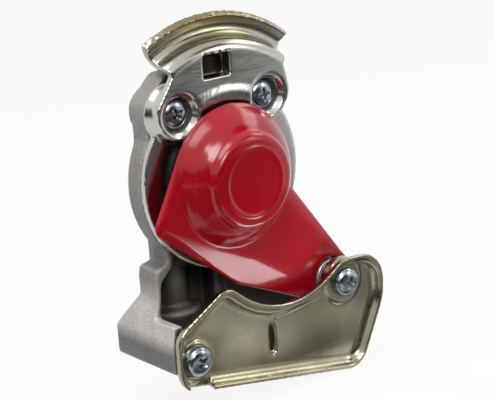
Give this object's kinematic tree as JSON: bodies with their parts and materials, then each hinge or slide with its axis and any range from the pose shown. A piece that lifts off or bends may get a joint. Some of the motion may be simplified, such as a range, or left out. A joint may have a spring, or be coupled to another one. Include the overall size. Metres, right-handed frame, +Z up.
{
  "type": "gladhand air brake coupler",
  "caption": "Air brake coupling head: cast body with threaded port, pressed steel guide and claw plates, face seal and a spring-loaded red swing lid.",
  "frame": {"origin": "centre of the threaded air port's mouth, on the underside of the foot", "axes": "+Z up, along the port into the body; the sealing face looks along -Y; +X is right as seen from the front"},
  "size_m": [0.0878, 0.0416, 0.1278],
  "materials": {
    "cast_aluminium": "fine-grained matt die casting",
    "zinc_steel": "bright yellowish zinc plating",
    "seal_rubber": "matt moulded rubber",
    "red_plastic": "glossy moulded red",
    "bright_steel": "turned bright steel",
    "spring_steel": "zinc plated wire",
    "blue_zinc": "blue passivated zinc"
  },
  "bodies": {
    "root": {"body": "cast_aluminium", "guide_plate": "zinc_steel", "claw_plate": "zinc_steel", "seal_ring": "seal_rubber", "pivot_bush": "bright_steel", "lid_spring": "spring_steel", "upper_screw_left": "blue_zinc", "upper_screw_right": "blue_zinc", "foot_screw": "blue_zinc", "pivot_screw": "blue_zinc"},
    "lid_carrier": {"thrust_washer": "bright_steel"},
    "lid": {"lid": "red_plastic"}
  },
  "joints": [
    {"name": "lid_lift", "type": "slide", "parent": "root", "child": "lid_carrier", "axis": [0, -1, 0], "range_m": [0, 0.002], "stiffness_N_per_m": 1200, "springref_m": -0.004, "deforming": ["lid_spring"]},
    {"name": "lid_swing", "type": "hinge", "parent": "lid_carrier", "child": "lid", "pos_m": [0.0545, -0.015, 0.014], "axis": [0, 1, 0], "range_deg": [0, 105], "stiffness_Nm_per_rad": 0.03, "springref_deg": -28.65}
  ]
}
